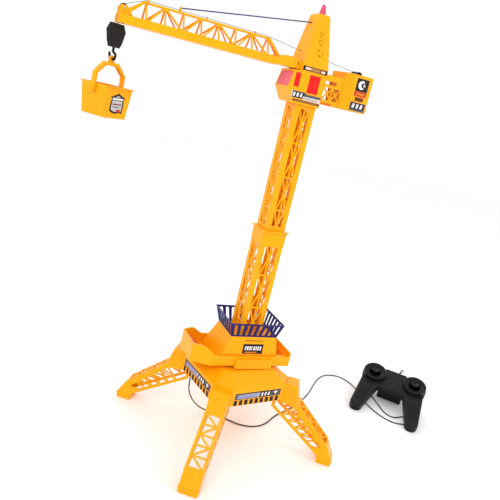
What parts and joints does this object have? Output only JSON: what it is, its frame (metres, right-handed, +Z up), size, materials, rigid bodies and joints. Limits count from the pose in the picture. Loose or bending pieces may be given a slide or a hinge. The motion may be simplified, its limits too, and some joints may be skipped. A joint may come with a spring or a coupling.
{
  "type": "toy tower crane",
  "caption": "Toy tower crane on four splayed legs: slewing platform, lattice mast, cab, jib with hoisted bucket, winch house and a wired two-stick handset.",
  "frame": {"origin": "the slewing axis where it meets the floor, midway between the four feet", "axes": "-X along the jib from the mast towards its tip, +Z up the mast, +Y across by the right hand; the base stands turned 9.44 degrees about +Z, and the handset lies on the floor at +X"},
  "size_m": [0.9602, 0.41, 0.85],
  "materials": {
    "yellow_plastic": "glossy moulded plastic",
    "black_plastic": "matte moulded plastic",
    "grey_plastic": "matte moulded plastic",
    "white_plastic": "natural acetal",
    "navy_plastic": "soft-gloss plastic",
    "pink_window": "printed gloss panel",
    "red_window": "dark gloss panel",
    "red_lens": "clear tinted plastic",
    "lamp_glow": "moulded lamp",
    "steel": "plain",
    "navy_cord": "braided cord",
    "grey_string": "thin string",
    "battery_wrap": "shrink wrap",
    "green_board": "coated board",
    "lead_rubber": "satin sheath"
  },
  "bodies": {
    "base": {"base_shell": "yellow_plastic", "base_bottom_cover": "yellow_plastic", "thrust_ring": "grey_plastic", "leg_back": "yellow_plastic", "leg_left": "yellow_plastic", "leg_front": "yellow_plastic", "leg_right": "yellow_plastic", "slew_motor": "steel", "handset_top": "black_plastic", "handset_bottom": "black_plastic", "batteries": "battery_wrap", "circuit_board": "green_board", "left_pad": "black_plastic", "right_pad": "black_plastic", "handset_gland": "black_plastic", "base_gland": "black_plastic", "lead_cord": "lead_rubber"},
    "slew_pinion": {"slew_pinion": "white_plastic"},
    "turntable": {"slew_gear": "white_plastic", "slew_spindle": "white_plastic", "platform_tray": "yellow_plastic", "bow_window": "pink_window", "pedestal": "yellow_plastic", "railing": "navy_plastic", "mast_lower": "yellow_plastic", "mast_upper": "yellow_plastic", "cab_shell": "yellow_plastic", "cab_windshield": "pink_window", "cab_side_windows": "red_window", "tower_head": "yellow_plastic", "warning_lens": "red_lens", "lamp": "lamp_glow", "counter_jib": "yellow_plastic", "winch_house": "yellow_plastic", "winch_house_cover": "yellow_plastic", "winch_frame": "grey_plastic", "winch_shaft": "steel", "winch_motor": "steel", "jib_inner": "yellow_plastic", "jib_outer": "yellow_plastic", "tip_pulley_pin": "steel", "string_guides": "yellow_plastic", "stay_bracket": "yellow_plastic", "stay_rope": "navy_cord", "hoist_line": "grey_string", "hoist_fall": "grey_string"},
    "winch_drum": {"winch_drum": "black_plastic", "winch_gear": "black_plastic"},
    "winch_pinion": {"winch_pinion": "white_plastic"},
    "tip_pulley": {"tip_pulley": "black_plastic"},
    "hook_block": {"hook_block_front": "black_plastic", "hook_block_back": "black_plastic"},
    "hook": {"hook": "black_plastic"},
    "bail": {"bail": "yellow_plastic"},
    "bucket": {"bucket": "yellow_plastic"},
    "left_stick": {"left_stick": "black_plastic"},
    "right_stick": {"right_stick": "black_plastic"},
    "battery_cover": {"battery_cover": "black_plastic"}
  },
  "joints": [
    {"name": "slew", "type": "hinge", "parent": "base", "child": "turntable", "pos_m": [0, 0, 0.14], "axis": [0, 0, 1], "range_deg": [-340, 340]},
    {"name": "slew_pinion_spin", "type": "hinge", "parent": "base", "child": "slew_pinion", "pos_m": [0.03625, 0, 0.14], "axis": [0, 0, 1], "range_deg": [-1700, 1700]},
    {"name": "hoist", "type": "slide", "parent": "turntable", "child": "hook_block", "axis": [0, 0, -1], "range_m": [0, 0.5], "deforming": ["hoist_fall"]},
    {"name": "winch_drum_spin", "type": "hinge", "parent": "turntable", "child": "winch_drum", "pos_m": [0.0949, 0, 0.7505], "axis": [0, 1, 0], "range_deg": [-5310, 20]},
    {"name": "winch_pinion_spin", "type": "hinge", "parent": "turntable", "child": "winch_pinion", "pos_m": [0.0949, 0, 0.7391], "axis": [0, 1, 0], "range_deg": [-20, 8850]},
    {"name": "tip_pulley_spin", "type": "hinge", "parent": "turntable", "child": "tip_pulley", "pos_m": [-0.337, 0, 0.7558], "axis": [0, 1, 0], "range_deg": [-5520, 20]},
    {"name": "hook_swivel", "type": "hinge", "parent": "hook_block", "child": "hook", "pos_m": [-0.3422, 0, 0.7], "axis": [0, 0, 1], "continuous": true},
    {"name": "bail_swing", "type": "hinge", "parent": "hook", "child": "bail", "pos_m": [-0.3422, 0, 0.6783], "axis": [0.5764, -0.8171, 0], "range_deg": [-15, 15]},
    {"name": "bucket_tip", "type": "hinge", "parent": "bail", "child": "bucket", "pos_m": [-0.3422, 0, 0.631], "axis": [0.8171, 0.5764, 0], "range_deg": [-55, 55]},
    {"name": "left_stick_tilt", "type": "hinge", "parent": "base", "child": "left_stick", "pos_m": [0.46795, 0.1152, 0.05512], "axis": [0.7071, -0.7071, 0], "range_deg": [-9, 9], "stiffness_Nm_per_rad": 0.2},
    {"name": "right_stick_tilt", "type": "hinge", "parent": "base", "child": "right_stick", "pos_m": [0.5412, 0.04195, 0.05512], "axis": [0.6645, 0.6645, 0.342], "range_deg": [-9, 9], "stiffness_Nm_per_rad": 0.2},
    {"name": "battery_cover_slide", "type": "slide", "parent": "base", "child": "battery_cover", "axis": [0.7071, 0.7071, 0], "range_m": [0, 0.044]}
  ],
  "couplings": [
    {"joint": "slew_pinion_spin", "follows": "slew", "ratio": -5},
    {"joint": "winch_drum_spin", "follows": "hoist", "rad_per_m": -185.19},
    {"joint": "winch_pinion_spin", "follows": "hoist", "rad_per_m": 308.64},
    {"joint": "tip_pulley_spin", "follows": "hoist", "rad_per_m": -192.31}
  ]
}
